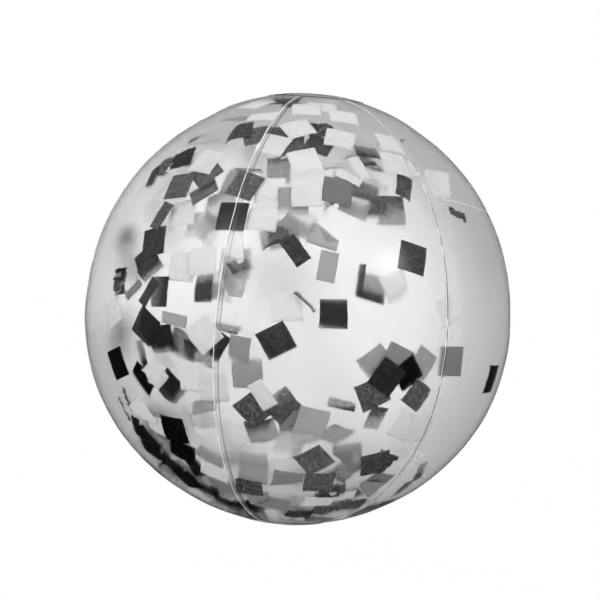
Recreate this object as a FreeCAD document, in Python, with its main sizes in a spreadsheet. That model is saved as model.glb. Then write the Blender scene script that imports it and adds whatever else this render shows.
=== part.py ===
import FreeCAD, Part
import math
import os
import random

from FreeCAD import Placement, Rotation, Vector

# A clear inflatable beach ball with loose tissue confetti sealed inside.
# Frame: the origin is the ball's centre, +Z runs along the axis through the two end discs, and a weld
# seam lies at longitude 0 (+X), 60, 120 and so on. Lengths are millimetres, angles are degrees.

doc = FreeCAD.newDocument("BeachBall")

# ---------------------------------------------------------------- driving dimensions

SIZES = {
    "ball_radius": 194.0,        # outside of the inflated gores
    "film_thick": 0.25,          # clear PVC film
    "gore_sweep": 60.0,          # six gores make the ball
    "gore_end_radius": 36.0,     # round opening that the gores leave at each end
    "seam_lap": 4.5,             # width of the welded lap between two gores
    "lap_root": 1.5,             # how far the lap's tongue reaches back under its own gore
    "disc_radius": 43.0,         # end disc, welded over the gores' ends
    "valve_offset": 14.0,        # valve axis from the ball's axis, in the top disc
    "flange_radius": 18.0,       # weld flange under the top disc
    "flange_thick": 0.6,
    "throat_radius": 9.6,        # opening in the flange
    "lip_radius": 11.4,          # rounded lip around the opening
    "lip_rise": 0.6,
    "lip_depth": 1.4,
    "stem_radius": 4.2,
    "stem_bore": 2.5,
    "stem_foot": 9.0,            # depth of the stem's inner end, pushed in
    "stem_top": 1.3,             # depth of the stem's outer end, pushed in
    "collar_radius": 5.2,
    "collar_thick": 0.8,
    "lug_reach": 7.0,            # ear on the collar that the strap is hinged to
    "lug_width": 3.6,
    "lug_thick": 0.5,
    "neck_wall": 0.5,            # soft funnel between flange and stem
    "neck_top_radius": 9.5,
    "neck_foot_radius": 5.0,
    "neck_top": 0.3,
    "neck_foot": 9.3,
    "plug_cap_radius": 4.8,
    "plug_cap_base": 1.0,        # depth of the cap's underside
    "plug_cap_thick": 1.4,
    "plug_pin_top": 2.2,
    "plug_pin_tip": 1.7,
    "plug_pin_length": 3.4,
    "strap_reach": 7.9,          # outer end of the plug's strap
    "strap_width": 3.0,
    "strap_thick": 0.5,
    "flap_radius": 3.3,
    "flap_thick": 0.4,
    "flap_gap": 0.35,            # below the stem's inner end
    "confetti_side": 25.4,       # tissue squares, one inch
    "confetti_thick": 0.1,
    "confetti_clear": 0.6,       # from the inner face of the seam laps
}

sheet = doc.addObject("Spreadsheet::Sheet", "Sizes")
for line, (alias, value) in enumerate(SIZES.items(), start=1):
    sheet.set(f"A{line}", alias)
    sheet.set(f"B{line}", str(value))
    sheet.setAlias(f"B{line}", alias)
doc.recompute()


def size(alias):
    return float(getattr(sheet, alias))


def bind(obj, **formulas):
    """Drive an object's properties from the sheet; a bare alias needs no prefix."""
    for name, formula in formulas.items():
        for alias in sorted(SIZES, key=len, reverse=True):
            formula = formula.replace(f"[{alias}]", f"Sizes.{alias}")
        obj.setExpression(name, formula)
    return obj


def primitive(kind, name, base=None, **formulas):
    obj = doc.addObject(f"Part::{kind}", name)
    bind(obj, **formulas)
    if base is not None:
        obj.Placement = Placement(base, Rotation())
    return obj


def cut(name, base, tool):
    obj = doc.addObject("Part::Cut", name)
    obj.Base = base
    obj.Tool = tool
    return obj


def common(name, *shapes):
    obj = doc.addObject("Part::MultiCommon", name)
    obj.Shapes = list(shapes)
    return obj


def fuse(name, *shapes):
    obj = doc.addObject("Part::MultiFuse", name)
    obj.Shapes = list(shapes)
    return obj


parts = []


def sub_part(obj, label, placement=None):
    """Name a finished sub-part; its label is also its file's name."""
    if placement is not None:
        obj.Placement = placement
    obj.Label = label
    parts.append(obj)
    return obj


RADIUS = size("ball_radius")
FILM = size("film_thick")

# ---------------------------------------------------------------- gores and end discs

END_LATITUDE = "acos([gore_end_radius] / [ball_radius])"


def film_band(name, outer, inner, sweep):
    """A spherical film layer between two radii, cut off at the round end openings."""
    skin = primitive(
        "Sphere", f"{name}_outer",
        Radius=outer, Angle1=f"-{END_LATITUDE}", Angle2=END_LATITUDE, Angle3=sweep,
    )
    hollow = primitive("Sphere", f"{name}_inner", Radius=inner)
    return cut(f"{name}_layer", skin, hollow)


def make_gore(number):
    """One lune of film. Its far edge carries a tongue, one film lower, that the next gore is welded over."""
    name = f"gore_{number}"
    panel = film_band(f"{name}_panel", "[ball_radius]", "[ball_radius] - [film_thick]", "[gore_sweep]")
    layer = film_band(
        f"{name}_lap", "[ball_radius] - [film_thick]", "[ball_radius] - 2 * [film_thick]", "360"
    )
    strip = primitive(
        "Box", f"{name}_strip",
        Length="[ball_radius]", Width="[seam_lap] + [lap_root]", Height="2 * [ball_radius]",
    )
    turn = Rotation(Vector(0, 0, 1), size("gore_sweep"))
    strip.Placement = Placement(turn.multVec(Vector(0, -size("lap_root"), -RADIUS)), turn)
    tongue = common(f"{name}_tongue", layer, strip)
    start = (number - 1) * size("gore_sweep")
    sub_part(
        fuse(f"{name}_film", panel, tongue), name,
        Placement(Vector(), Rotation(Vector(0, 0, 1), start)),
    )


for number in range(1, round(360 / size("gore_sweep")) + 1):
    make_gore(number)


def film_cap(name):
    """A round patch of film that follows the ball, one film above the gores."""
    skin = primitive(
        "Sphere", f"{name}_outer",
        Radius="[ball_radius] + [film_thick]", Angle1="acos([disc_radius] / [ball_radius])",
    )
    hollow = primitive("Sphere", f"{name}_inner", Radius="[ball_radius]")
    return cut(f"{name}_cap", skin, hollow)


UPSIDE_DOWN = Placement(Vector(), Rotation(Vector(1, 0, 0), 180))
sub_part(film_cap("bottom_disc"), "bottom_disc", UPSIDE_DOWN)

# ---------------------------------------------------------------- valve
# Every valve piece is drawn about the Z axis with z = ball_radius at the film, then tilted about the
# ball's centre to its place in the top disc. Depths are below the film.

VALVE_TILT = math.degrees(math.asin(size("valve_offset") / RADIUS))
VALVE_PLACE = Placement(Vector(), Rotation(Vector(0, 1, 0), VALVE_TILT))


def round_solid(name, radius, depth, length, top_radius=None):
    """A cylinder, or a cone if the upper radius differs, whose foot is at a depth below the film."""
    base = Vector(0, 0, RADIUS - depth)
    if top_radius is None:
        return primitive("Cylinder", name, base, Radius=radius, Height=length)
    return primitive("Cone", name, base, Radius1=radius, Radius2=top_radius, Height=length)


def block(name, near, far, width, depth, thick):
    """A flat ear that runs from x = -far to x = -near."""
    base = Vector(-size(far), -size(width) / 2, RADIUS - depth)
    return primitive(
        "Box", name, base, Length=f"[{far}] - [{near}]", Width=f"[{width}]", Height=f"[{thick}]"
    )


def rounded(name, obj, radius, edge_test):
    """Round the edges of a recomputed shape that a test picks."""
    doc.recompute()
    fillet = doc.addObject("Part::Fillet", name)
    fillet.Base = obj
    picked = [i for i, edge in enumerate(obj.Shape.Edges, start=1) if edge_test(edge)]
    fillet.Edges = [(i, radius, radius) for i in picked]
    return fillet


def circle_at(radius, height):
    def test(edge):
        if not isinstance(edge.Curve, Part.Circle):
            return False
        close = abs(edge.Curve.Radius - radius) < 0.01
        return close and abs(edge.Curve.Center.z - height) < 0.01

    return test


disc_hole = primitive("Cylinder", "top_disc_hole", Radius="[lip_radius]", Height="2 * [ball_radius]")
disc_hole.Placement = VALVE_PLACE
sub_part(cut("top_disc_film", film_cap("top_disc"), disc_hole), "top_disc")

flange_skin = primitive("Sphere", "flange_outer", Radius="[ball_radius]")
flange_inner = primitive("Sphere", "flange_inner", Radius="[ball_radius] - [flange_thick]")
flange_layer = cut("flange_layer", flange_skin, flange_inner)
flange_round = round_solid("flange_round", "[flange_radius]", 10.0, "20")
flange_plate = common("flange_plate", flange_layer, flange_round)
lip_block = round_solid(
    "lip_block", "[lip_radius]", size("lip_depth"), "[lip_depth] + [lip_rise]"
)
flange_blank = fuse("flange_blank", flange_plate, lip_block)
throat = round_solid("throat", "[throat_radius]", 10.0, "20")
flange_bored = cut("flange_bored", flange_blank, throat)
LIP_TOP = RADIUS + size("lip_rise")
flange = rounded(
    "flange_rounded", flange_bored, 0.4,
    lambda edge: circle_at(size("lip_radius"), LIP_TOP)(edge)
    or circle_at(size("throat_radius"), LIP_TOP)(edge),
)
sub_part(flange, "valve_flange", VALVE_PLACE)

NECK_LENGTH = "[neck_foot] - [neck_top]"
neck_skin = round_solid(
    "neck_skin", "[neck_foot_radius]", size("neck_foot"), NECK_LENGTH, "[neck_top_radius]"
)
neck_hollow = round_solid(
    "neck_hollow", "[neck_foot_radius] - [neck_wall]", size("neck_foot"), NECK_LENGTH,
    "[neck_top_radius] - [neck_wall]",
)
sub_part(cut("neck_funnel", neck_skin, neck_hollow), "valve_neck", VALVE_PLACE)

stem_tube = round_solid("stem_tube", "[stem_radius]", size("stem_foot"), "[stem_foot] - [stem_top]")
stem_collar = round_solid(
    "stem_collar", "[collar_radius]", size("stem_top") + size("collar_thick"), "[collar_thick]"
)
stem_bore = round_solid("stem_bore", "[stem_bore]", size("stem_foot") + 1, "[stem_foot] + 2")
stem_lug = block(
    "stem_lug", "stem_radius", "lug_reach", "lug_width",
    size("stem_top") + size("lug_thick"), "lug_thick",
)
stem_blank = fuse("stem_blank", stem_tube, stem_collar, stem_lug)
sub_part(cut("stem_bored", stem_blank, stem_bore), "valve_stem", VALVE_PLACE)

plug_pin = round_solid(
    "plug_pin", "[plug_pin_tip]", size("plug_cap_base") + size("plug_pin_length"),
    "[plug_pin_length]", "[plug_pin_top]",
)
plug_cap = round_solid(
    "plug_cap", "[plug_cap_radius]", size("plug_cap_base"), "[plug_cap_thick]"
)
CAP_TOP = RADIUS - size("plug_cap_base") + size("plug_cap_thick")
plug = rounded(
    "plug_rounded", fuse("plug_blank", plug_pin, plug_cap), 0.5,
    circle_at(size("plug_cap_radius"), CAP_TOP),
)
sub_part(plug, "plug", VALVE_PLACE)

strap = block(
    "strap", "plug_cap_radius", "strap_reach", "strap_width", size("plug_cap_base"), "strap_thick"
)
strap_trim = round_solid("strap_trim", "[plug_cap_radius]", 5.0, "10")
strap_root = primitive(
    "Box", "strap_root",
    Vector(-size("plug_cap_radius"), -size("strap_width") / 2, RADIUS - size("plug_cap_base")),
    Length="1.0", Width="[strap_width]", Height="[strap_thick]",
)
strap_blank = fuse("strap_blank", strap, strap_root)
sub_part(cut("strap_trimmed", strap_blank, strap_trim), "plug_strap", VALVE_PLACE)

FLAP_DEPTH = size("stem_foot") + size("flap_gap") + size("flap_thick")
sub_part(round_solid("flap", "[flap_radius]", FLAP_DEPTH, "[flap_thick]"), "non_return_flap")
parts[-1].Placement = VALVE_PLACE * parts[-1].Placement

# ---------------------------------------------------------------- confetti
# Each row is one tissue square: tone (b black, g grey, w white), longitude and latitude of its middle
# on the ball, turn from north, then what isn't 0: how far one side leans in from the film, the side
# that leans (from north, the top side if left out), and the width left where the square is folded.
# Rows start against the film; each later one settles inward until it is clear of those before it.

PIECES = """
W -82 65 -8        | W -88 54 -15        | W -105 67.5 5      | W -94 71 0
W -107 57 33       | w -130 63.5 10      | b -120 71.5 0 0 0 .35 | b -131 74.5 10
w -147 69 0        | b -124 53.5 30      | b -134 54 25       | W -115 49.5 -12
g -146 62 0 15     | b -96 58 10         | b -97 51.5 -20     | b -109 50.5 10
b -103.5 50.5 5 15 | b -115.5 55.5 30    | W -102 44.5 22     | b -111 43 10 20 200 .85
W -100.3 34 4      | G -91 35.7 -10      | b -94 36 0 70 90 .9 | g -85.3 33 -20 15
W -87 40 60 0 0 .4 | W -82.5 43.5 20 0 0 .4 | b -76 51.5 -10 15 | b -80 48.5 10 20
b -84 45 -15 30    | b -74.5 48.5 -20 30 | g -91 46 10 35     | g -104 32 5
g -101.5 27 -25 20 | w -111.5 34.5 5     | w -112 27 0        | w -106 24 12
W -63.5 54 -12     | W -67.5 46 -5       | W -63 46.5 -15     | b -67 39 -25 0 0 .6
b -80.5 38.8 -15 15 | W -75 42 -40 65    | g -75 37.8 5       | b -74 31.6 2 10 180
W -44.5 42.6 -22 25 115 | B -47.5 31.5 72 8 -20 .35 | g -57 57.5 75 60 0 .3 | w -146 45 28 15 -80
W -137.5 41.5 -5   | b -135.3 38.2 -35   | b -142.5 33.2 10   | b -133.5 33 45 20
b -150.5 42 30     | b -158.5 40 0 0 0 .8 | b -160 35.5 30 0 0 .4 | w -156 34 5
b -143.8 24.3 -14 0 0 .5 | w -138 26 20  | w -132 24 0        | g -128.3 22.7 -25 20 180
w -126 26.5 15     | B -120.5 26 3       | b -161 52.5 40 20 40 .4 | g -152 50.5 10 20
w -165 34 20 10    | g -124 38 0         | b -119.5 35 -15    | b -121 41 85 65 0 .3
w -128 33 10       | b -143.5 17.3 17    | b -144.3 12 40     | g -150 15 10 20 90 .8
b -149.5 8 -10 40 90 .35 | b -154.5 6 10 0 0 .85 | w -156 -2 30 | g -147.5 4.5 -50 0 0 .35
b -138 5 5 10 90 .85 | b -141 4.5 -30 0 0 .4 | b -141 -4 -30  | b -136 -7 10
W -123 -4 44       | g -130.3 -8 -15     | b -125.2 -9.8 -5 15 180 | b -119 -7 -30 0 0 .4
b -144.5 -12 22 20 90 .5 | g -140 -12 0 30 180 | g -131.7 -1.3 85 0 0 .4 | b -153.5 -15 20
W -138.5 -16 45    | b -144 -18.5 -40    | b -134 -19 45      | b -125 7.5 5 15 0 .6
g -121.5 8.5 0 20  | w -126 14 10        | w -132 12 0        | w -119 15 5
w -116 19 -10      | b -102 18.5 40 0 0 .55 | b -108.5 23 20 25 | b -104.8 -3.9 31 15 211
b -91.3 3.6 4 6 184 .9 | w -103 4.8 8 15 | b -98.3 6.5 50 60 -40 .25 | g -94.5 23.3 -15 25
g -93.5 15.2 -8 0 0 .6 | b -84.5 12.8 -10 60 90 .3 | W -75 11.3 25 | b -80.5 11.5 -13 12 -13
b -70 18.8 -14     | b -116 14.5 -50 40 -50 .5 | g -118 9.5 0 20 | b -118 -2 80 60 0 .4
g -113.7 -7.3 -5 0 0 .7 | g -111.5 -12.5 5 | W -57.8 6.5 30 10 120 | g -55 -7.2 5 30 90 .8
B -76 -11 -30      | B -70 -10 40        | w -71 -8 -45 0 0 .3 | g -73.8 -7 -22
g -79 -8 -50       | g -65.5 -7.5 -30    | b -66 -15.6 -30    | b -79 -15.5 30
b -76.5 -22.3 -5 10 180 .65 | w -67 -24 -20 | B -33 -12.5 -3  | b -91.5 -35.5 42
b -71.5 -36 20     | b -68.5 -36.5 -20   | b -88 -44 5        | b -81 -49 15
b -66 -56 10       | b -78 -61 -10       | w -85 -54.5 0      | w -75 -53 10
g -68 -47 -10      | g -65 -44.5 -15     | W -107.3 -17.5 35 0 0 .55 | b -109.5 -21.5 43
b -107.5 -28.5 12 10 190 | b -102 -20.5 42 10 | g -98.5 -25.5 10 | g -94 -24 -10
w -103 -34 20 20   | w -99.5 -33.5 -15   | b -113.5 -49 -5    | g -112 -44.5 0 50
g -99 -44 -5       | w -115 -31 0 10     | g -110 -56 20      | g -104 -57 -10
b -90 -64 0        | b -86.5 -19 80 40 0 .35 | g -86.5 -28.5 -30 25 180
g -80.5 -36 10 20  | g -79.5 -42 -25     | w -95 -29 15       | b -135.2 -30.8 0
b -136.2 -38.5 -25 | b -160 -29 12 20 90 .35 | b -155.5 -25.5 15 20 90 .4 | b -153.5 -33 -20 0 0 .5
b -152 -36.5 20    | b -153 -42 -15      | b -147 -45 35      | b -142 -50 10
b -137 -55 -20     | b -128 -59 15       | b -148 -52 0       | b -120 -62 25
g -147.5 -38.5 -30 | g -147 -47.5 15 0 0 .5 | W -147 -28 30   | W -142 -32 -10
b -136 -44.5 20    | g -125.5 -39 55 45 -35 .35 | g -124 -23 -70 50 20 .5 | w -126 -15 0
w -120.5 -17 5     | w -127 -27 20       | w -124 -33 -10     | w -126 -45 -20
w -121 -46 15      | g -125 -51 10       | b -43.5 -42 20 10 0 .5 | b -43.5 -49 20 0 0 .5
w -57 -36 -20      | w -62 -25 -5
"""

rng = random.Random(24)


def scattered(count, longitudes, latitudes, tones, lean):
    """Loose squares spread over a patch of the wall, as rows like those above."""
    low, high = (math.sin(math.radians(value)) for value in latitudes)
    rows = []
    for _ in range(count):
        latitude = math.degrees(math.asin(rng.uniform(low, high)))
        longitude = rng.uniform(*longitudes)
        tone = rng.choice(tones)
        row = (tone, longitude, latitude, rng.uniform(0, 90), rng.uniform(0, lean), rng.uniform(0, 360), 1.0)
        rows.append(row)
    return rows


def read_rows(text):
    rows = []
    for field in text.replace("\n", "|").split("|"):
        words = field.split()
        if not words:
            continue
        numbers = [float(word) for word in words[1:]]
        turn = numbers[2]
        numbers += [0.0, turn, 1.0][len(numbers) - 3:]
        rows.append((words[0], *numbers))
    return rows


# Squares written with a capital lie against the film first, the others behind them tone by tone.
LAYERS = {"B": 0, "G": 0, "W": 0, "b": 1, "g": 2, "w": 3}
rows = sorted(read_rows(PIECES), key=lambda row: LAYERS[row[0]])
rows += scattered(56, (58, 150), (-45, 58), "wwwwwgb", 12)    # far wall
rows += scattered(60, (-180, 180), (-88, -58), "wwbbbg", 20)    # heap at the bottom
rows += scattered(26, (130, 215), (-62, -38), "wbbg", 20)    # the heap's flank

WALL = RADIUS - 2 * FILM - size("confetti_clear")
SIDE = size("confetti_side")
THICK = size("confetti_thick")
SETTLE_STEP = 0.6
GAP = 0.25


def axes_of(longitude, latitude, turn, lean, lean_side):
    """The square's own axes: along its bottom edge, up its side, and out of its face."""
    a, b = math.radians(longitude), math.radians(latitude)
    out = Vector(math.cos(b) * math.cos(a), math.cos(b) * math.sin(a), math.sin(b))
    east = Vector(-math.sin(a), math.cos(a), 0)
    north = out.cross(east)
    twist = Rotation(out, turn)
    side = Rotation(out, lean_side).multVec(north)
    tip = Rotation(out.cross(side), lean)
    return out, [tip.multVec(twist.multVec(axis)) for axis in (east, north, out)]


def overlap(one, two):
    """Whether two thin boxes, each (centre, axes, half sizes), come closer than the gap."""
    apart = two[0] - one[0]
    if apart.Length > SIDE * 1.5:
        return False
    crossed = [a.cross(b) for a in one[1] for b in two[1]]
    for axis in one[1] + two[1] + crossed:
        if axis.Length < 1e-6:
            continue
        reach = sum(abs(axis.dot(v)) * h for box in (one, two) for v, h in zip(box[1], box[2]))
        if abs(axis.dot(apart)) > reach + GAP * axis.Length:
            return False
    return True


def settle(row, placed):
    """Lay a square against the film, then move it inward until it is clear of the others."""
    tone, longitude, latitude, turn, lean, lean_side, share = row
    out, axes = axes_of(longitude, latitude, turn, lean, lean_side)
    half = [SIDE * share / 2, SIDE / 2, THICK / 2]
    corners = [
        axes[0] * (half[0] * i) + axes[1] * (half[1] * j) + axes[2] * half[2]
        for i in (-1, 1)
        for j in (-1, 1)
    ]
    height = WALL
    while True:
        centre = out * height
        inside = max((centre + corner).Length for corner in corners) <= WALL
        box = (centre, axes, half)
        if inside and not any(overlap(box, other[1]) for other in placed):
            placed.append((tone.lower(), box))
            return
        height -= SETTLE_STEP


def square_solid(box):
    centre, axes, half = box
    solid = Part.makeBox(2 * half[0], 2 * half[1], 2 * half[2], Vector(-half[0], -half[1], -half[2]))
    solid.Placement = Placement(centre, Rotation(axes[0], axes[1], axes[2], "ZXY"))
    return solid


placed = []
for row in rows:
    settle(row, placed)

TONES = {"b": "black", "g": "grey", "w": "white"}
HEAP_TOP = -0.5 * RADIUS
for tone, word in TONES.items():
    for zone in ("upper", "heap"):
        chosen = [
            square_solid(box)
            for kind, box in placed
            if kind == tone and (box[0].z < HEAP_TOP) == (zone == "heap")
        ]
        group = doc.addObject("Part::Feature", f"confetti_{word}_{zone}")
        group.Shape = Part.makeCompound(chosen)
        sub_part(group, f"confetti_{word}_{zone}")

# ---------------------------------------------------------------- checks and files

doc.recompute()
for obj in doc.Objects:
    if {"Invalid", "Error"} & set(obj.State):
        raise RuntimeError(f"{obj.Name} is {obj.State}")
for obj in parts:
    if obj.Shape.isNull() or not obj.Shape.isValid():
        raise RuntimeError(f"{obj.Label} has no valid shape")

os.makedirs("parts", exist_ok=True)
for obj in parts:
    obj.Shape.exportStep(f"parts/{obj.Label}.step")
    print(f"{obj.Label}: {len(obj.Shape.Solids)} solids, {obj.Shape.Volume:.1f} mm3")
print("squares:", len(placed), "deepest:", round(min(box[0].Length for _, box in placed), 1))
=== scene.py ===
import math
import random

import bpy
import numpy as np
from mathutils import Matrix, Vector, noise


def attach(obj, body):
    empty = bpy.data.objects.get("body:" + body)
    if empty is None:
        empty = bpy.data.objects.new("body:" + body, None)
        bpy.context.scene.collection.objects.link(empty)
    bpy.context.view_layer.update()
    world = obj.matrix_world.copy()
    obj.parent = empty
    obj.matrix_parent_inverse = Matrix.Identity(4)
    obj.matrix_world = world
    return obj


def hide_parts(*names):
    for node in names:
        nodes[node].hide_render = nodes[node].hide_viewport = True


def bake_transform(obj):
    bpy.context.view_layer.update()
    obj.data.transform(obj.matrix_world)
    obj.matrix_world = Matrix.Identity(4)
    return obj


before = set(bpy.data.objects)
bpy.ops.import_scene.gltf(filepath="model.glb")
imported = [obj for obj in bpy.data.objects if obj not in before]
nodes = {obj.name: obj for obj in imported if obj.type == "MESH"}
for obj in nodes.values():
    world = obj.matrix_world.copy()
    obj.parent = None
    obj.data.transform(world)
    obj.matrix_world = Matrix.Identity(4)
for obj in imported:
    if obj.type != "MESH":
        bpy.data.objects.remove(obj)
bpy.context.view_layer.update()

RADIUS = 0.194
FILM = 0.00025
GORES = 6
SWEEP = 360 / GORES
END_RADIUS = 0.036
DISC_RADIUS = 0.043
LAP = 0.0045
END_LATITUDE = math.degrees(math.acos(END_RADIUS / RADIUS))


def direction(longitude, latitude):
    a, b = math.radians(longitude), math.radians(latitude)
    return Vector((math.cos(b) * math.cos(a), math.cos(b) * math.sin(a), math.sin(b)))


def longitude_latitude(point):
    return (
        math.degrees(math.atan2(point.y, point.x)),
        math.degrees(math.asin(max(-1, min(1, point.z / point.length)))),
    )


# ---------------------------------------------------------------- shape of the inflated film

# How far the film stands off a true sphere at each latitude, in millimetres.
PROFILE = [(-90, 0.0), (-62, -0.3), (-50, 0.5), (-25, 0.9), (-8, -0.3), (5, -1.8), (25, -1.7), (42, -0.9)]
PROFILE += [(58, -0.3), (70, 1.9), (82, 2.5), (90, 2.3)]

# Broad swells and dips on top of that: longitude, latitude, width in degrees, height in metres.
SWELLS = [
    (-10, 45, 22, 0.0007),
    (170, 38, 24, -0.0006),
    (170, -30, 24, 0.0006),
    (-10, -35, 20, -0.0005),
    (-60, -20, 20, 0.0005),
    (80, 0, 30, 0.0005),
]
SWELL_AXES = [(direction(lon, lat), math.radians(width), height) for lon, lat, width, height in SWELLS]
DEEPEST_DENT = 0.0006


def profile(latitude):
    """The stand-off at a latitude, in metres, by smooth steps between the listed ones."""
    for (low, one), (high, two) in zip(PROFILE, PROFILE[1:]):
        if latitude <= high:
            share = (latitude - low) / (high - low)
            share = share * share * (3 - 2 * share)
            return (one + (two - one) * share) / 1000
    return PROFILE[-1][1] / 1000


# A soft fold in the film, as a run of points in longitude and latitude.
FOLD = [direction(*point) for point in ((-59, 38.5), (-52, 35), (-45, 34.5), (-33, 33), (-21, 32))]
FOLD_STEPS = 14


def fold_height(unit):
    """A shallow valley with a lip beside it, along the fold."""
    best, side = 1.0, 0.0
    for one, two in zip(FOLD, FOLD[1:]):
        along = two - one
        share = max(0.0, min(1.0, (unit - one).dot(along) / along.length_squared))
        apart = unit - (one + along * share)
        if apart.length < best:
            best = apart.length
            side = apart.dot(one.cross(along))
    distance = best * RADIUS * (1 if side > 0 else -1)
    ends = min(1.0, (unit - FOLD[0]).length * 12) * min(1.0, (unit - FOLD[-1]).length * 6)
    valley = -0.0004 * math.exp(-((distance / 0.0030) ** 2))
    lip = 0.0011 * math.exp(-(((distance - 0.006) / 0.0042) ** 2))
    return (valley + lip) * ends


def seam_distance(longitude, latitude):
    """How far along the surface a point is from its nearest seam, in metres, and the seam's number."""
    seam = round(longitude / SWEEP)
    reach = RADIUS * math.cos(math.radians(latitude))
    return math.radians(longitude - seam * SWEEP) * reach, seam % GORES


def puckers(longitude, latitude):
    """Small wrinkles that run out from a seam and die away, and a faint dip along the seam."""
    distance, seam = seam_distance(longitude, latitude)
    along = math.radians(latitude) * RADIUS
    reach = 0.010 + 0.010 * (noise.noise(Vector((seam * 7.3, along * 22, 2.1))) + 0.5)
    near = math.exp(-abs(distance) / max(reach, 0.004))
    strength = 0.00035 * max(0.0, 0.35 + 1.6 * noise.noise(Vector((seam * 3.1, along * 14, 5.7))))
    ripple = noise.noise(Vector((seam * 11.0, along * 125, distance * 25)))
    dip = -0.0003 * math.exp(-((distance / 0.012) ** 2))
    return near * strength * ripple * 1.6 + dip


def film_radius(longitude, latitude):
    unit = direction(longitude, latitude)
    swell = 0.0
    for axis, width, height in SWELL_AXES:
        swell += height * math.exp(-((unit.angle(axis) / width) ** 2))
    swell += 0.0004 * noise.noise(unit * 3.1 + Vector((4, 1, 7)))
    swell += 0.00015 * noise.noise(unit * 9.0 + Vector((1, 5, 2)))
    radius = RADIUS + profile(latitude) + max(swell, 0.0003 - DEEPEST_DENT)
    if abs(latitude) < END_LATITUDE + 2:
        radius += puckers(longitude, latitude)
    if -75 < longitude < 0 and 10 < latitude < 55:
        radius += fold_height(unit)
    return radius


# ---------------------------------------------------------------- mesh helpers


def make_object(name, vertices, faces, smooth=True):
    mesh = bpy.data.meshes.new(name)
    mesh.from_pydata([tuple(v) for v in vertices], [], faces)
    mesh.validate()
    for polygon in mesh.polygons:
        polygon.use_smooth = smooth
    obj = bpy.data.objects.new(name, mesh)
    bpy.context.scene.collection.objects.link(obj)
    return obj


def sheet_solid(outer, inner):
    """Vertices and faces of a closed slab between two equal grids of points (rows of points)."""
    rows, columns = len(outer), len(outer[0])
    vertices = [p for row in outer for p in row] + [p for row in inner for p in row]
    shift = rows * columns
    faces = []
    for i in range(rows - 1):
        for j in range(columns - 1):
            a, b = i * columns + j, i * columns + j + 1
            c, d = b + columns, a + columns
            faces.append((a, b, c, d))
            faces.append((a + shift, d + shift, c + shift, b + shift))
    rim = [j for j in range(columns)]
    rim += [i * columns + columns - 1 for i in range(1, rows)]
    rim += [(rows - 1) * columns + j for j in range(columns - 2, -1, -1)]
    rim += [i * columns for i in range(rows - 2, 0, -1)]
    for a, b in zip(rim, rim[1:] + rim[:1]):
        faces.append((b, a, a + shift, b + shift))
    return vertices, faces


def ring_slab(outer, inner, flip=False):
    """Vertices and faces of a closed slab between two sets of rings that run all the way round."""
    rings, steps = len(outer), len(outer[0])
    vertices = [p for ring in outer for p in ring] + [p for ring in inner for p in ring]
    shift = rings * steps
    faces = []
    for k in range(steps):
        m = (k + 1) % steps
        for i in range(rings - 1):
            a, b, c, d = i * steps + k, (i + 1) * steps + k, (i + 1) * steps + m, i * steps + m
            faces += [(a, b, c, d), (a + shift, d + shift, c + shift, b + shift)]
        e, f = (rings - 1) * steps + k, (rings - 1) * steps + m
        faces += [(e, e + shift, f + shift, f), (k, m, m + shift, k + shift)]
    return vertices, [face[::-1] for face in faces] if flip else faces


# ---------------------------------------------------------------- materials


def new_material(name):
    material = bpy.data.materials.new(name)
    material.use_nodes = True
    tree = material.node_tree
    tree.nodes.clear()
    output = tree.nodes.new("ShaderNodeOutputMaterial")
    return material, tree, output


def add(tree, kind, **values):
    """A node; a value whose name is a socket is set on it, any other is set on the node."""
    node = tree.nodes.new("ShaderNode" + kind)
    for name, value in values.items():
        label = name.replace("_", " ")
        if label in node.inputs:
            node.inputs[label].default_value = value
        else:
            setattr(node, name, value)
    return node


def link(tree, source, target):
    """Join a target socket to a source socket, or set a plain value on it."""
    if isinstance(source, bpy.types.NodeSocket):
        tree.links.new(source, target)
    else:
        target.default_value = source


def noise_value(tree, scale, detail=3.0, roughness=0.5, distortion=0.0):
    place = add(tree, "TexCoord").outputs["Object"]
    texture = add(tree, "TexNoise", Scale=scale, Detail=detail, Roughness=roughness, Distortion=distortion)
    link(tree, place, texture.inputs["Vector"])
    return texture.outputs["Fac"]


def grey_ramp(tree, source, stops):
    node = add(tree, "ValToRGB")
    elements = node.color_ramp.elements
    while len(elements) < len(stops):
        elements.new(0.5)
    for element, (position, value) in zip(elements, stops):
        element.position = position
        element.color = (value, value, value, 1)
    link(tree, source, node.inputs["Fac"])
    return node.outputs["Color"]


def bump_normal(tree, height, strength, distance):
    node = add(tree, "Bump", Strength=strength, Distance=distance)
    link(tree, height, node.inputs["Height"])
    return node.outputs["Normal"]


def calculate(tree, operation, one, two, clamp=False):
    node = add(tree, "Math", operation=operation, use_clamp=clamp)
    link(tree, one, node.inputs[0])
    link(tree, two, node.inputs[1])
    return node.outputs["Value"]


def mix_colours(tree, share, one, two, blend="MIX"):
    node = add(tree, "Mix", data_type="RGBA", blend_type=blend)
    link(tree, share, node.inputs["Factor"])
    link(tree, one, node.inputs["A"])
    link(tree, two, node.inputs["B"])
    return node.outputs["Result"]


def mix_shaders(tree, share, one, two):
    node = add(tree, "MixShader")
    link(tree, share, node.inputs["Fac"])
    link(tree, one, node.inputs[1])
    link(tree, two, node.inputs[2])
    return node.outputs["Shader"]


def by_ray(tree, plain, through, mirrored):
    """One shader for most rays, one for those that came through the film and one for those it mirrors."""
    path = add(tree, "LightPath")
    bent, glossy = path.outputs["Is Transmission Ray"], path.outputs["Is Glossy Ray"]
    unmirrored = mix_shaders(tree, bent, plain, through)
    return mix_shaders(tree, calculate(tree, "SUBTRACT", glossy, bent, clamp=True), unmirrored, mirrored)


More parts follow.
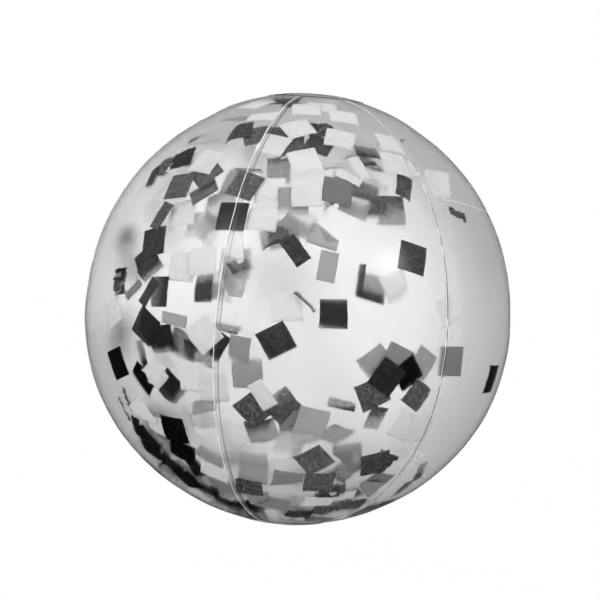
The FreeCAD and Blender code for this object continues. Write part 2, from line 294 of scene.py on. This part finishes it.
def film_material(name, tint, roughness, straight, haze, wave):
    """Soft cloudy film: most of what is seen through it is blurred, a share comes straight through.

    It blurs most where it is seen face on, and only its outer faces shine. Light that falls through it
    onto the things inside is only dimmed."""
    material, tree, output = new_material(name)
    relief = bump_normal(tree, noise_value(tree, 38, 2.0, 0.4, 0.3), wave, 0.0006)
    facing = add(tree, "LayerWeight", Blend=0.5).outputs["Facing"]
    falloff = [(0.0, 1), (0.12, 0.85), (0.28, 0.4), (0.42, 0.18)]
    cloudy = grey_ramp(tree, facing, [(place, roughness * share) for place, share in falloff] + [(0.6, 0.02)])
    blurred = add(tree, "BsdfRefraction", IOR=1.3, Color=(*tint, 1))
    link(tree, cloudy, blurred.inputs["Roughness"])
    sharp = add(tree, "BsdfTransparent", Color=(*tint, 1))
    cloud = noise_value(tree, 9, 3.0, 0.55)
    amount = grey_ramp(tree, cloud, [(0.3, straight * 0.8), (0.7, straight * 1.2)])
    seen = mix_shaders(tree, amount, blurred.outputs["BSDF"], sharp.outputs["BSDF"])
    milk = add(tree, "BsdfDiffuse", Color=(0.8, 0.8, 0.8, 1))
    body = mix_shaders(tree, haze, seen, milk.outputs["BSDF"])
    gloss = add(tree, "BsdfGlossy", Roughness=0.28, Color=(1, 1, 1, 1))
    fresnel = add(tree, "Fresnel", IOR=1.5)
    link(tree, relief, gloss.inputs["Normal"])
    link(tree, relief, fresnel.inputs["Normal"])
    weaker = calculate(tree, "MULTIPLY", fresnel.outputs["Fac"], 0.5)
    inner_face = add(tree, "NewGeometry").outputs["Backfacing"]
    shine = calculate(tree, "SUBTRACT", weaker, inner_face, clamp=True)
    surface = mix_shaders(tree, shine, body, gloss.outputs["BSDF"])
    clear = add(tree, "BsdfTransparent", Color=(0.95, 0.95, 0.95, 1))
    path = add(tree, "LightPath")
    lighting = calculate(tree, "MAXIMUM", path.outputs["Is Shadow Ray"], path.outputs["Is Diffuse Ray"])
    final = mix_shaders(tree, lighting, surface, clear.outputs["BSDF"])
    link(tree, final, output.inputs["Surface"])
    return material


def tissue_material(name, dark, light, through, clear):
    """Thin tissue: a matt fibrous face, some light scattered through, and a little seen straight through.

    Attribute tone takes it from dark to light; on black tissue the lighter end is partly a painted reflection
    veil. Attribute lifted fades the parts that curl away from the film."""
    material, tree, output = new_material(name)
    tone = add(tree, "Attribute", attribute_name="tone").outputs["Fac"]
    lifted = add(tree, "Attribute", attribute_name="lifted").outputs["Fac"]
    fibre = noise_value(tree, 900, 5.0, 0.65, 0.6)
    speck = noise_value(tree, 620, 2.0, 0.6)
    crease = noise_value(tree, 150, 3.0, 0.55, 1.2)
    # Colour from tone: on black tissue partly a painted reflection veil, on grey tissue painted shade.
    shade = mix_colours(tree, tone, (*dark, 1), (*light, 1))
    colour = mix_colours(tree, 1, shade, grey_ramp(tree, fibre, [(0.3, 0.82), (0.7, 1.12)]), "MULTIPLY")
    dust = calculate(tree, "MULTIPLY", grey_ramp(tree, speck, [(0.45, 0.0), (0.75, 0.6)]), tone)
    dusted = mix_colours(tree, dust, colour, (0.5, 0.5, 0.5, 1))
    relief = bump_normal(tree, calculate(tree, "ADD", fibre, crease), 0.5, 0.0004)
    face = add(tree, "BsdfDiffuse", Roughness=0.6)
    back = add(tree, "BsdfTranslucent")
    for shader in (face, back):
        link(tree, dusted, shader.inputs["Color"])
        link(tree, relief, shader.inputs["Normal"])
    scatter = mix_shaders(tree, through, face.outputs["BSDF"], back.outputs["BSDF"])
    holes = grey_ramp(tree, fibre, [(0.3, clear * 0.6), (0.75, clear * 1.5)])
    faint = calculate(tree, "MULTIPLY", lifted, grey_ramp(tree, speck, [(0.3, 0.75), (0.7, 1.25)]))
    unseen = calculate(tree, "ADD", holes, faint, clamp=True)
    whole = mix_shaders(tree, unseen, scatter, add(tree, "BsdfTransparent").outputs["BSDF"])
    link(tree, whole, output.inputs["Surface"])
    return material


film = film_material("clear_film", (0.975, 0.975, 0.975), 0.5, 0.06, 0.0, 0.25)
weld = film_material("weld_line", (0.98, 0.98, 0.98), 0.4, 0.25, 0.5, 0.6)
TISSUES = {
    # The light end of black tissue is raised mostly as a painted reflection veil.
    "black": tissue_material("black_tissue", (0.002, 0.002, 0.002), (0.065, 0.065, 0.065), 0.15, 0.0),
    # Grey tissue is painted shade: white tissue darkened to stand for white pieces lying in shadow.
    "grey": tissue_material("grey_tissue_painted_shade", (0.22, 0.22, 0.22), (0.5, 0.5, 0.5), 0.3, 0.08),
    "white": tissue_material("white_tissue", (0.78, 0.78, 0.78), (0.88, 0.88, 0.88), 0.3, 0.06),
}

# ---------------------------------------------------------------- gores

GORE_COLUMNS = 64
GORE_ROWS = 168
WELD_ROWS = 560


def film_point(longitude, latitude, offset):
    return direction(longitude, latitude) * (film_radius(longitude, latitude) + offset)


def gore_longitudes(start):
    """Close together near both seams, then on under the next gore by the width of the lap."""
    steps = [0.5 - 0.5 * math.cos(math.pi * i / GORE_COLUMNS) for i in range(GORE_COLUMNS + 1)]
    return [start + SWEEP * (0.35 * step + 0.65 * i / GORE_COLUMNS) for i, step in enumerate(steps)]


def make_gore(number):
    start = (number - 1) * SWEEP
    outer, inner = [], []
    for i in range(GORE_ROWS + 1):
        latitude = END_LATITUDE * (2 * i / GORE_ROWS - 1)
        lap_angle = math.degrees(LAP / (RADIUS * math.cos(math.radians(latitude))))
        columns = [(longitude, 0.0) for longitude in gore_longitudes(start)]
        end = start + SWEEP
        shares = (0.08, 0.3, 0.55, 0.8, 1.0)
        thick = [FILM] * len(columns) + [FILM * (1 - 0.94 * share) for share in shares]
        columns += [(end + lap_angle * share, -FILM * 1.04) for share in shares]
        outer.append([film_point(lon, latitude, offset) for lon, offset in columns])
        inner.append([film_point(lon, latitude, off - depth) for (lon, off), depth in zip(columns, thick)])
    vertices, faces = sheet_solid(outer, inner)
    gore = make_object(f"film_gore_{number}", vertices, faces)
    gore.data.materials.append(film)
    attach(gore, "shell")
    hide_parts(f"gore_{number}")


def make_weld(number):
    """The flattened bead of a weld along the edge of a gore, uneven in width."""
    longitude = (number - 1) * SWEEP
    outer, inner = [], []
    for i in range(WELD_ROWS + 1):
        latitude = (END_LATITUDE + 1) * (2 * i / WELD_ROWS - 1)
        along = math.radians(latitude) * RADIUS
        wobble = noise.noise(Vector((number * 5.0, along * 170, 0.4)))
        blob = max(0.0, noise.noise(Vector((number * 9.0, along * 90, 6.6))) - 0.22)
        half = 0.00036 + 0.00016 * wobble + 0.0018 * blob
        height = 0.0002 + 0.0001 * noise.noise(Vector((number * 2.0, along * 260, 8.1))) + 0.0012 * blob
        middle = 0.0002 * noise.noise(Vector((number, along * 60, 3.0)))
        per_metre = math.degrees(1 / (RADIUS * math.cos(math.radians(min(abs(latitude), 80)))))
        top, low = [], []
        for share in (-1, -0.6, 0, 0.6, 1):
            place = longitude + (middle + half * share) * per_metre
            rise = height * (1 - share * share)
            top.append(film_point(place, latitude, rise + 0.00006))
            low.append(film_point(place, latitude, -0.00002))
        outer.append(top)
        inner.append(low)
    vertices, faces = sheet_solid(outer, inner)
    bead = make_object(f"weld_bead_{number}", vertices, faces)
    bead.data.materials.append(weld)
    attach(bead, "shell")


for number in range(1, GORES + 1):
    make_gore(number)
for number in range(1, GORES + 1):
    make_weld(number)


def make_fold():
    """The raised edge of the soft fold, where the film doubles into a thin ridge; it is made of the milky
    weld vinyl so that it shows as a bright line, a painted highlight.
    """
    path = []
    for one, two in zip(FOLD, FOLD[1:]):
        path += [one.lerp(two, step / FOLD_STEPS).normalized() for step in range(FOLD_STEPS)]
    path.append(FOLD[-1])
    outer, inner = [], []
    for i, unit in enumerate(path):
        share = i / (len(path) - 1)
        ahead = (path[min(i + 1, len(path) - 1)] - path[max(i - 1, 0)]).normalized()
        aside = ahead.cross(unit)
        half = (0.00035 + 0.0003 * noise.noise(Vector((i * 0.4, 2, 7)))) * math.sin(math.pi * share) ** 0.4
        half = max(half, 0.0001)
        top, low = [], []
        for step in (-1, -0.5, 0, 0.5, 1):
            spot = (unit * RADIUS + aside * (half * step + 0.0008 * noise.noise(unit * 40))).normalized()
            longitude, latitude = longitude_latitude(spot)
            top.append(film_point(longitude, latitude, 0.00008 + 0.0005 * (1 - step * step)))
            low.append(film_point(longitude, latitude, 0.00001))
        outer.append(top)
        inner.append(low)
    vertices, faces = sheet_solid(outer, inner)
    ridge = make_object("film_fold_painted_highlight", vertices, faces)
    # The milky weld material here paints the fold's highlight.
    ridge.data.materials.append(weld)
    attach(ridge, "shell")


make_fold()

# ---------------------------------------------------------------- end discs

VALVE_OFFSET = 0.014
VALVE_TILT = math.asin(VALVE_OFFSET / RADIUS)
LIP_RADIUS = 0.0114
DISC_FILM = 0.0004
DISC_GAP = 0.00012
RIM_LIFT = 0.0004
RIM_START = 0.86


def polar_point(turn, reach, end, offset):
    """A point on the film at a turn about the pole and a distance from it, at the top (1) or bottom (-1)."""
    latitude = 90 - math.degrees(math.asin(min(reach / RADIUS, 1)))
    return film_point(math.degrees(turn), latitude * end, offset)


def make_disc(name, node, end, hole):
    """A round patch with a rounded, slightly lifted rim; the top one has a hole for the valve."""
    steps = 120
    rings = 16
    outer, inner = [], []
    for i in range(rings + 1):
        share = i / rings
        top, low = [], []
        for k in range(steps):
            turn = 2 * math.pi * k / steps
            rim = Vector((math.cos(turn), math.sin(turn))) * DISC_RADIUS
            if hole:
                near = Vector((VALVE_OFFSET, 0)) + Vector((math.cos(turn), math.sin(turn))) * LIP_RADIUS
            else:
                near = Vector((math.cos(turn), math.sin(turn))) * 0.0006
            spot = near.lerp(rim, share)
            uneven = 0.6 + noise.noise(Vector((turn * 2, 3, end)))
            lift = DISC_GAP + RIM_LIFT * max(0.0, share - RIM_START) / (1 - RIM_START) * uneven
            angle = math.atan2(spot.y, spot.x)
            top.append(polar_point(angle, spot.length, end, lift + DISC_FILM))
            low.append(polar_point(angle, spot.length, end, lift))
        outer.append(top)
        inner.append(low)
    vertices, faces = ring_slab(outer, inner, flip=end < 0)
    disc = make_object(name, vertices, faces)
    disc.data.materials.append(film)
    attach(disc, "shell")
    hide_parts(node)


make_disc("top_patch", "top_disc", 1, True)
make_disc("bottom_patch", "bottom_disc", -1, False)

# ---------------------------------------------------------------- confetti

TISSUE = 0.00012


def read_squares(node):
    """Each square of a confetti node, as centre, its two edge axes, its outward face and its size."""
    count = len(node.data.vertices)
    points = np.zeros(count * 3, np.float32)
    node.data.vertices.foreach_get("co", points)
    blocks = points.reshape(-1, 24, 3).astype(float)
    squares = []
    for block in blocks:
        centre = block.mean(0)
        spread = block - centre
        normal = np.linalg.svd(spread)[2][2]
        if normal @ centre < 0:
            normal = -normal
        face = spread[spread @ normal > 0]
        corners = []
        for point in face:
            if all(np.linalg.norm(point - other) > 1e-4 for other in corners):
                corners.append(point)
        axis = corners[0] / np.linalg.norm(corners[0])
        cross = np.cross(normal, axis)
        corners.sort(key=lambda p: math.atan2(p @ cross, p @ axis))
        edges = [corners[(i + 1) % 4] - corners[i] for i in range(4)]
        edges.sort(key=lambda e: (round(float(np.linalg.norm(e)), 4), float(e[2])))
        up = edges[-1]
        across = np.cross(up, normal)
        width = min(float(np.linalg.norm(e)) for e in edges)
        squares.append(
            (
                Vector(centre),
                Vector(across).normalized(),
                Vector(up).normalized(),
                Vector(normal),
                width,
                float(np.linalg.norm(up)),
            )
        )
    return squares


# How single squares lie: tone, longitude, latitude, then the sides that curl in off the film
# (t top, u under, l left, r right; f none, k flat and clear, c crumpled all over, d doubled over at a
# corner) and how pale the tissue is from 0 to 1. On black squares the paleness is partly a painted
# reflection veil, standing for mirrored studio light, and is darkest on the lower-left heap.
LOOKS = """
b -120.5 26 f 0.15   | b -91.3 3.6 tu 0.2   | b -104.8 -3.9 k 0.3  | b -80.5 38.8 f 0.7
b -80.5 11.5 t 0.3   | b -70 18.8 f 0.4     | b -76 -11 f 0.15     | b -70 -10 c 0
b -66 -15.6 c 0.8    | b -79 -15.5 f 0.8    | b -91.5 -35.5 f 1    | b -88 -44 f 0.9
b -71.5 -36 f 0.5    | b -68.5 -36.5 c 0.4  | b -109.5 -21.5 f 0.7 | b -107.5 -28.5 r 0.8
b -102 -20.5 u 0.8   | b -135.2 -30.8 f 0   | b -136.2 -38.5 f 0   | b -144.5 -12 r 0
b -136 -7 u 0.1      | b -141 -4 f 0.1      | b -125.2 -9.8 u 0.3  | b -119 -7 u 0.2
b -149.5 8 f 0       | b -154.5 6 c 0       | b -153.5 -15 f 0     | b -143.5 17.3 f 0.3
b -144.3 12 u 0.3    | b -143.8 24.3 f 0.8  | b -124 53.5 f 0.9    | b -134 54 l 0.5
b -135.3 38.2 f 0.9  | b -142.5 33.2 k 0.9  | b -133.5 33 k 0.9    | b -111 43 c 0.9
b -119.5 35 k 0.9    | b -115.5 55.5 f 0.8  | b -96 58 c 0.5       | b -97 51.5 c 0.5
b -84 45 k 0.6       | b -74.5 48.5 c 0.2   | b -80 48.5 c 0.2     | b -76 51.5 c 0.2
b -94 36 lr 0.2      | b -108.5 23 lt 0.4   | b -102 18.5 f 0.3    | b -74 31.6 u 0.9
b -76.5 -22.3 c 0.7  | b -113.5 -49 c 0.6   | b -33 -12.5 f 0      | b -138 5 f 0.2
b -134 -19 u 0.1     | b -144 -18.5 u 0     | b -116 14.5 lt 0.6   | b -90 -64 c 0.3
b -86.5 -19 c 0.5    | b -160 -29 c 0       | b -155.5 -25.5 c 0   | b -150.5 42 c 0.2
g -91 35.7 f 0.05    | g -101.5 27 u 0.5    | g -104 32 u 0.7      | g -128.3 22.7 lu 0.6
g -91 46 c 0.4       | g -65.5 -7.5 c 0.7   | g -73.8 -7 f 0.3     | g -79 -8 l 0.7
g -55 -7.2 k 0.1     | g -98.5 -25.5 u 0.2  | g -93.5 15.2 f 0.9   | g -113.7 -7.3 u 0.5
g -111.5 -12.5 t 0.6 | g -121.5 8.5 ru 0.5  | g -130.3 -8 u 0.3    | w -115 49.5 f 0.6
w -137.5 41.5 f 0.3  | w -102 44.5 f 1      | w -100.3 34 f 0.8    | w -67.5 46 f 0.8
w -123 -4 f 0.6      | w -107.3 -17.5 f 0.5 | w -57.8 6.5 k 1      | w -82 65 f 0.9
w -88 54 f 0.9       | w -105 67.5 f 0.9    | w -94 71 f 0.9       | w -107 57 f 0.9
w -75 42 c 0.7       | w -44.5 42.6 k 0.8   | w -103 -34 c 0.8     | w -99.5 -33.5 c 0.8
w -115 -31 c 0.5     | w -75 11.3 ru 0.6    | w -156 -2 c 0.3
"""
SIDES = {"r": 0, "t": 90, "l": 180, "u": 270}


def read_looks(text):
    looks = []
    for field in text.replace("\n", "|").split("|"):
        words = field.split()
        if words:
            spot = direction(float(words[1]), float(words[2]))
            looks.append((words[0], spot, words[3], float(words[4])))
    return looks


KNOWN_LOOKS = read_looks(LOOKS)
LISTED_REACH = math.radians(3.0)
HEAP_LEVEL = -0.09
# Black squares within this reach of the lower-left get almost no painted reflection veil and stay nearly
# black.
NO_REFLECTION_SIDE = direction(-160, -35)
NO_REFLECTION_REACH = math.radians(38)


def look_of(tone, centre, pick):
    """The listed look of a square, or a likely one: mostly flat, some curling at a side, some crumpled."""
    unit = centre.normalized()
    near = min(KNOWN_LOOKS, key=lambda look: look[1].angle(unit) + (0 if look[0] == tone[0] else 9))
    if near[0] == tone[0] and near[1].angle(unit) < LISTED_REACH:
        return near[2], near[3]
    look = pick.choice("ccddfu" if centre.z < HEAP_LEVEL else "ffcdtulr")
    pale_and_reflection = pick.random()
    # Black paleness is a painted reflection veil: almost none on the lower-left side, more elsewhere.
    if tone == "black":
        pale_and_reflection = 0.05 * pale_and_reflection if NO_REFLECTION_SIDE.angle(unit) < NO_REFLECTION_REACH else 0.2 + 0.6 * pale_and_reflection
    return look, pale_and_reflection


def bend_about(x, y, angle, start, curve):
    """Roll the part of a sheet beyond a line inward: the new place in the sheet and the drop."""
    along = x * math.cos(angle) + y * math.sin(angle)
    over = along - start
    if over <= 0:
        return x, y, 0.0
    turn = over * curve
    moved = math.sin(turn) / curve - over
    return x + moved * math.cos(angle), y + moved * math.sin(angle), (1 - math.cos(turn)) / curve


def double_over(x, y, angle, start):
    """Fold the part of a sheet beyond a line flat back behind the rest."""
    over = x * math.cos(angle) + y * math.sin(angle) - start
    if over <= 0:
        return x, y, 0.0
    return x - 2 * over * math.cos(angle), y - 2 * over * math.sin(angle), 0.0006 + 0.04 * over


def tissue_sheet(square, look, pick):
    centre, across, up, normal, width, height = square
    out = centre.normalized()
    flat = normal.dot(out) > 0.985
    swell = 1 + profile(longitude_latitude(out)[1]) / RADIUS
    corners = [centre + across * width * i / 2 + up * height * j / 2 for i in (-1, 1) for j in (-1, 1)]
    reach = max(corner.length for corner in corners)
    bends = []
    for side in look:
        if side in SIDES:
            angle = math.radians(SIDES[side] + pick.uniform(-14, 14))
            bends.append((angle, pick.uniform(-0.002, 0.002), pick.uniform(45, 65)))
    angle = math.radians(pick.choice((45, 135, 225, 315)) + pick.uniform(-25, 25))
    if look != "k":
        bends.append((angle, pick.uniform(0.009, 0.015), pick.uniform(30, 90)))
    crease = (angle, pick.uniform(0.001, 0.008)) if look == "d" else None
    crumpled = "c" in look
    crumple = pick.uniform(0.0008, 0.0022) if crumpled else pick.choice((0.0001, 0.0002, 0.0004))
    shrink = 0.9 if crumpled else 1.0
    shift = Vector((pick.uniform(0, 50), pick.uniform(0, 50), pick.uniform(0, 50)))
    fold = math.radians(pick.uniform(0, 180))
    steps = 16 if crumpled or crease else 10
    outer, inner = [], []
    for i in range(steps + 1):
        top, low = [], []
        for j in range(steps + 1):
            x = width * (j / steps - 0.5)
            y = height * (i / steps - 0.5)
            across_fold = x * math.cos(fold) + y * math.sin(fold)
            rough = abs(noise.noise(Vector((across_fold * 230, (y - x) * 60, 0)) + shift))
            rough += 0.5 * noise.noise(Vector((x * 260, y * 260, 5)) + shift)
            x += 0.0006 * noise.noise(Vector((y * 120, x * 120, 9)) + shift) * shrink
            drop = 0.0
            if crease:
                x, y, drop = double_over(x, y, *crease)
            turned = drop > 0
            for angle, start, curve in bends:
                x, y, more = bend_about(x, y, angle, start, curve)
                drop += more
            spot = centre + (across * x + up * y) * shrink
            if flat:
                spot *= reach / spot.length
            spot = (spot - normal * (drop + crumple * (0.3 + 1.6 * rough))) * swell
            limit = RADIUS + profile(longitude_latitude(spot)[1]) - DEEPEST_DENT - FILM
            if spot.length > limit:
                spot *= limit / spot.length
            top.append(spot)
            low.append(spot + normal * TISSUE if turned else spot - normal * TISSUE)
        outer.append(top)
        inner.append(low)
    return sheet_solid(outer, inner)


def smooth_step(share):
    share = max(0.0, min(1.0, share))
    return share * share * (3 - 2 * share)


# A part this far in from the square's foremost place begins to fade, and fades fully over the depth.
FADE_START = 0.0005
FADE_DEPTH = 0.0035


def make_confetti(tone, zone):
    node = f"confetti_{tone}_{zone}"
    vertices, faces, pale_and_reflection_values, lifts = [], [], [], []
    for index, square in enumerate(read_squares(nodes[node])):
        pick = random.Random(f"{node} {index}")
        look, pale_and_reflection = look_of(tone, square[0], pick)
        part_vertices, part_faces = tissue_sheet(square, look, pick)
        base = len(vertices)
        nearest = max(v.length for v in part_vertices)
        most = {"k": 0.0, "f": 0.35, "d": 0.35}.get(look, 0.6 if tone == "black" else 0.75)
        lifts += [most * smooth_step((nearest - v.length - FADE_START) / FADE_DEPTH) for v in part_vertices]
        vertices += part_vertices
        faces += [tuple(base + i for i in face) for face in part_faces]
        # The paleness, which on black tissue is partly a painted reflection, goes into attribute tone.
        pale_and_reflection_values += [pale_and_reflection] * len(part_vertices)
    obj = make_object(f"tissue_{tone}_{zone}", vertices, faces)
    for label, values in (("tone", pale_and_reflection_values), ("lifted", lifts)):
        attribute = obj.data.attributes.new(label, "FLOAT", "POINT")
        attribute.data.foreach_set("value", values)
    obj.data.materials.append(TISSUES[tone])
    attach(obj, "confetti")
    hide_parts(node)


for tone in TISSUES:
    for zone in ("upper", "heap"):
        make_confetti(tone, zone)

# ---------------------------------------------------------------- valve

vinyl = film_material("valve_vinyl", (0.9, 0.91, 0.91), 0.35, 0.1, 0.35, 0.4)
thin_vinyl = film_material("flap_film", (0.94, 0.94, 0.94), 0.3, 0.2, 0.2, 0.5)
for node in ("valve_flange", "valve_stem", "plug", "plug_strap", "non_return_flap"):
    for material_slot in nodes[node].material_slots:
        material_slot.material = thin_vinyl if node == "non_return_flap" else vinyl

VALVE_AXIS = Vector((math.sin(VALVE_TILT), 0, math.cos(VALVE_TILT)))
# Depth below the film and outer radius at the two ends of the funnel.
NECK_TOP = (0.0003, 0.0095)
NECK_FOOT = (0.0093, 0.0050)
NECK_WALL = 0.0005
NECK_FOLDS = 6
NECK_FOLD_DEPTH = 0.00012
STEM_RADIUS = 0.0042
STEM_GAP = 0.00001
WEB_HALF_WIDTH = 0.0013
WEB_HALF_THICK = 0.00011
VALVE_ACROSS = Vector((math.cos(VALVE_TILT), 0, -math.sin(VALVE_TILT)))
VALVE_ALONG = VALVE_AXIS.cross(VALVE_ACROSS)


def valve_point(x, y, depth):
    """A place in the valve's own axes: x and y across it, and the depth below the film."""
    return VALVE_ACROSS * x + VALVE_ALONG * y + VALVE_AXIS * (RADIUS - depth)


def make_neck():
    """The soft funnel that holds the stem, with faint rings pressed into it."""
    rings, steps = 36, 96
    outer, inner = [], []
    for i in range(rings + 1):
        share = i / rings
        depth = NECK_TOP[0] + (NECK_FOOT[0] - NECK_TOP[0]) * share
        radius = NECK_TOP[1] + (NECK_FOOT[1] - NECK_TOP[1]) * share
        fold = 1 - math.cos(2 * math.pi * share * NECK_FOLDS)
        radius -= NECK_FOLD_DEPTH * math.sin(math.pi * share) * fold
        thin = radius - NECK_WALL
        bore = thin + (STEM_RADIUS + STEM_GAP - thin) * smooth_step((share - 0.8) / 0.1)
        top, low = [], []
        for k in range(steps):
            turn = 2 * math.pi * k / steps
            top.append(valve_point(math.cos(turn) * radius, math.sin(turn) * radius, depth))
            low.append(valve_point(math.cos(turn) * bore, math.sin(turn) * bore, depth))
        outer.append(top)
        inner.append(low)
    neck = make_object("neck_funnel", *ring_slab(outer, inner))
    neck.data.materials.append(vinyl)
    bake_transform(neck)
    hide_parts("valve_neck")


make_neck()


def make_hinge_web():
    """The thin strip that turns back from the stem's ear to the plug's strap."""
    path = [(-0.0068, 0.00155)]
    for i in range(17):
        turn = math.radians(90 - 180 * i / 16)
        path.append((-0.00715 - 0.00072 * math.cos(turn), 0.00115 + 0.0004 * math.sin(turn)))
    outer, inner = [], []
    for i, (x, depth) in enumerate(path):
        before, after = path[max(i - 1, 0)], path[min(i + 1, len(path) - 1)]
        ahead = Vector((after[0] - before[0], after[1] - before[1])).normalized() * WEB_HALF_THICK
        places = [WEB_HALF_WIDTH * (1 - j / 4) for j in range(9)]
        outer.append([valve_point(x - ahead.y, y, depth - ahead.x) for y in places])
        inner.append([valve_point(x + ahead.y, y, depth + ahead.x) for y in places])
    web = make_object("hinge_web", *sheet_solid(outer, inner))
    web.data.materials.append(vinyl)
    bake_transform(web)


make_hinge_web()

# ---------------------------------------------------------------- stage, lights and camera

VIEW_LONGITUDE = -100
VIEW_LATITUDE = 4
VIEW_ROLL = math.radians(4.6)
VIEW_DISTANCE = 8 * RADIUS
LENS = 102
SENSOR = 36
AIM_RIGHT = 0.0016
AIM_UP = 0.0093

toward = direction(VIEW_LONGITUDE, VIEW_LATITUDE)
level = Vector((0, 0, 1)).cross(toward).normalized()
upright = toward.cross(level)


def view_direction(right, above):
    """A direction from the ball, given as angles to the right of and above the camera's own, in degrees."""
    a, b = math.radians(right), math.radians(above)
    return (toward * math.cos(a) + level * math.sin(a)) * math.cos(b) + upright * math.sin(b)


def make_camera():
    data = bpy.data.cameras.new("camera")
    data.sensor_width = SENSOR
    data.lens = LENS
    data.clip_start = 0.01
    camera = bpy.data.objects.new("camera", data)
    bpy.context.scene.collection.objects.link(camera)
    side = level * math.cos(VIEW_ROLL) + upright * math.sin(VIEW_ROLL)
    top = upright * math.cos(VIEW_ROLL) - level * math.sin(VIEW_ROLL)
    target = side * AIM_RIGHT + top * AIM_UP
    place = toward * VIEW_DISTANCE
    back = (place - target).normalized()
    right = top.cross(back).normalized()
    turn = Matrix((right, back.cross(right), back)).transposed().to_4x4()
    camera.matrix_world = Matrix.Translation(place) @ turn
    bpy.context.scene.camera = camera


def make_light(name, right, above, distance, width, height, watts, shine=True, through=False):
    data = bpy.data.lights.new(name, "AREA")
    data.shape = "RECTANGLE"
    data.size = width
    data.size_y = height
    data.energy = watts
    light = bpy.data.objects.new(name, data)
    bpy.context.scene.collection.objects.link(light)
    place = view_direction(right, above) * distance
    light.matrix_world = Matrix.Translation(place) @ place.to_track_quat("Z", "Y").to_matrix().to_4x4()
    light.visible_camera = False
    light.visible_glossy = shine
    light.visible_transmission = through
    return light


make_light("wide_left", right=-31, above=40, distance=1.5, width=3.0, height=3.2, watts=14)
make_light("lamp_right", right=48, above=24, distance=2.0, width=0.24, height=0.2, watts=8)
make_light("lamp_left", right=-38, above=30, distance=2.0, width=0.24, height=0.2, watts=8)

# Two soft lights behind the ball that only show through the film.
BEHIND = {"distance": 2.0, "shine": False, "through": True}
make_light("glow_behind", right=181.2, above=-1.5, width=0.46, height=0.5, watts=0.95, **BEHIND)
make_light("glow_left", right=188, above=-2, width=0.8, height=0.85, watts=0.4, **BEHIND)


# Brightness of the room as light and to the camera, through the film, and mirrored in it.
ROOM_LEVELS = (1.0, 0.52, 0.2)
FLOOR_LEVELS = (1.0, 0.6, 0.02)


def make_world():
    """White to the camera and as light, a grey room to what shines through, almost dark in reflections."""
    world = bpy.data.worlds.new("studio")
    bpy.context.scene.world = world
    world.use_nodes = True
    tree = world.node_tree
    tree.nodes.clear()
    output = tree.nodes.new("ShaderNodeOutputWorld")
    levels = []
    for strength in ROOM_LEVELS:
        level = add(tree, "Background", Color=(1, 1, 1, 1), Strength=strength)
        levels.append(level.outputs["Background"])
    link(tree, by_ray(tree, *levels), output.inputs["Surface"])


FLOOR_HALF = 6.0
FLOOR_STEPS = 24
FLOOR_THICK = 0.02
FLOOR_GAP = 0.0004


def make_floor():
    low = -RADIUS - FILM - FLOOR_GAP
    places = [FLOOR_HALF * (2 * i / FLOOR_STEPS - 1) for i in range(FLOOR_STEPS + 1)]
    top = [[Vector((x, y, low)) for x in places] for y in places]
    under = [[p - Vector((0, 0, FLOOR_THICK)) for p in row] for row in top]
    floor = make_object("floor", *sheet_solid(top, under), smooth=False)
    material, tree, output = new_material("pale_floor")
    grain = grey_ramp(tree, noise_value(tree, 4, 2.0), [(0.3, 0.995), (0.7, 1.0)])
    levels = [add(tree, "Emission", Strength=strength) for strength in FLOOR_LEVELS]
    link(tree, grain, levels[0].inputs["Color"])
    shown = by_ray(tree, *(level.outputs["Emission"] for level in levels))
    link(tree, shown, output.inputs["Surface"])
    floor.data.materials.append(material)


make_camera()
make_world()
make_floor()
bpy.context.scene.view_settings.view_transform = "Standard"
